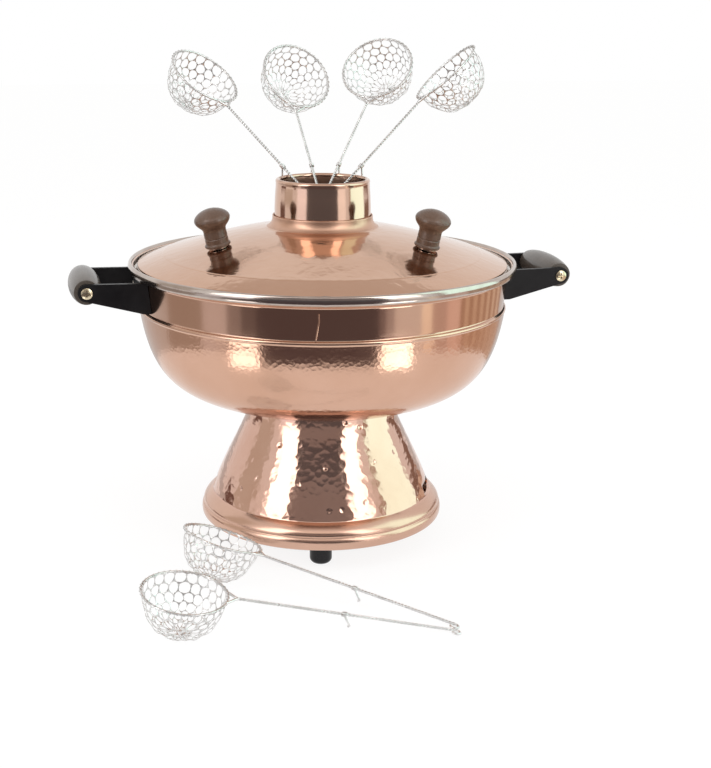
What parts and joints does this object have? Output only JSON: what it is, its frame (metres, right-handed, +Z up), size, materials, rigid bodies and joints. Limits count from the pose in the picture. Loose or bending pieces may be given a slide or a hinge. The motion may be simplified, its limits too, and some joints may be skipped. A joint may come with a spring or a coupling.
{
  "type": "chimney hot pot",
  "caption": "Copper hot pot on a pedestal with a central chimney, a lift-off lid, side handles and wire skimmers hooked on the chimney.",
  "frame": {"origin": "on the table, at the middle of the circle of feet, on the axis of the chimney", "axes": "+Z up along the chimney, X along the two handles, -Y towards the side that the lying skimmers are on"},
  "size_m": [0.3632, 0.3484, 0.3599],
  "materials": {
    "copper_hammered": "polished, hammered",
    "copper_polished": "mirror polished",
    "copper_plain": "plain sheet",
    "tin": "bright tinned",
    "iron": "rough",
    "black_foot": "gloss",
    "black_metal": "satin black",
    "wood": "varnished",
    "fastener": "bright",
    "tinned_wire": "bright tinned wire"
  },
  "bodies": {
    "pot": {"bowl": "copper_hammered", "rim_ring": "tin", "flue": "copper_polished", "fire_grate": "iron", "neck_sleeve": "copper_plain", "pedestal": "copper_hammered", "base_ring": "copper_plain", "ash_plate": "iron", "foot_1": "black_foot", "foot_2": "black_foot", "foot_3": "black_foot", "foot_screw_1": "fastener", "foot_screw_2": "fastener", "foot_screw_3": "fastener", "bracket_left": "black_metal", "bracket_right": "black_metal", "rivets_left": "fastener", "rivets_right": "fastener", "grip_left": "wood", "grip_right": "wood", "bolt_left": "fastener", "bolt_right": "fastener", "nut_left": "fastener", "nut_right": "fastener"},
    "lid": {"lid": "copper_polished", "knob_1": "wood", "knob_2": "wood", "knob_3": "wood", "knob_washer_1": "tin", "knob_washer_2": "tin", "knob_washer_3": "tin", "knob_screw_1": "fastener", "knob_screw_2": "fastener", "knob_screw_3": "fastener"},
    "skimmer_1": {"skimmer_1_wire": "tinned_wire", "skimmer_1_net": "tinned_wire", "skimmer_1_catch": "tinned_wire"},
    "skimmer_2": {"skimmer_2_wire": "tinned_wire", "skimmer_2_net": "tinned_wire", "skimmer_2_catch": "tinned_wire"},
    "skimmer_3": {"skimmer_3_wire": "tinned_wire", "skimmer_3_net": "tinned_wire", "skimmer_3_catch": "tinned_wire"},
    "skimmer_4": {"skimmer_4_wire": "tinned_wire", "skimmer_4_net": "tinned_wire", "skimmer_4_catch": "tinned_wire"},
    "skimmer_5": {"skimmer_5_wire": "tinned_wire", "skimmer_5_net": "tinned_wire", "skimmer_5_catch": "tinned_wire"},
    "skimmer_6": {"skimmer_6_wire": "tinned_wire", "skimmer_6_net": "tinned_wire", "skimmer_6_catch": "tinned_wire"}
  },
  "joints": [
    {"name": "lid_lift", "type": "slide", "parent": "pot", "child": "lid", "axis": [0, 0, 1], "range_m": [0, 0.12]},
    {"name": "skimmer_1_draw", "type": "slide", "parent": "lid", "child": "skimmer_1", "axis": [-0.4728, 0.6628, 0.5807], "range_m": [0, 0.08]},
    {"name": "skimmer_2_draw", "type": "slide", "parent": "lid", "child": "skimmer_2", "axis": [0.0076, 0.866, 0.5], "range_m": [0, 0.08]},
    {"name": "skimmer_3_draw", "type": "slide", "parent": "lid", "child": "skimmer_3", "axis": [0.4668, 0.6544, 0.5948], "range_m": [0, 0.08]},
    {"name": "skimmer_4_draw", "type": "slide", "parent": "lid", "child": "skimmer_4", "axis": [0.7076, 0.3077, 0.6361], "range_m": [0, 0.08]},
    {"name": "skimmer_5_pick_up", "type": "slide", "parent": "pot", "child": "skimmer_5", "axis": [-0.2857, -0.4286, 0.8571], "range_m": [0, 0.12]},
    {"name": "skimmer_6_pick_up", "type": "slide", "parent": "pot", "child": "skimmer_6", "axis": [-0.2857, -0.4286, 0.8571], "range_m": [0, 0.12]}
  ]
}
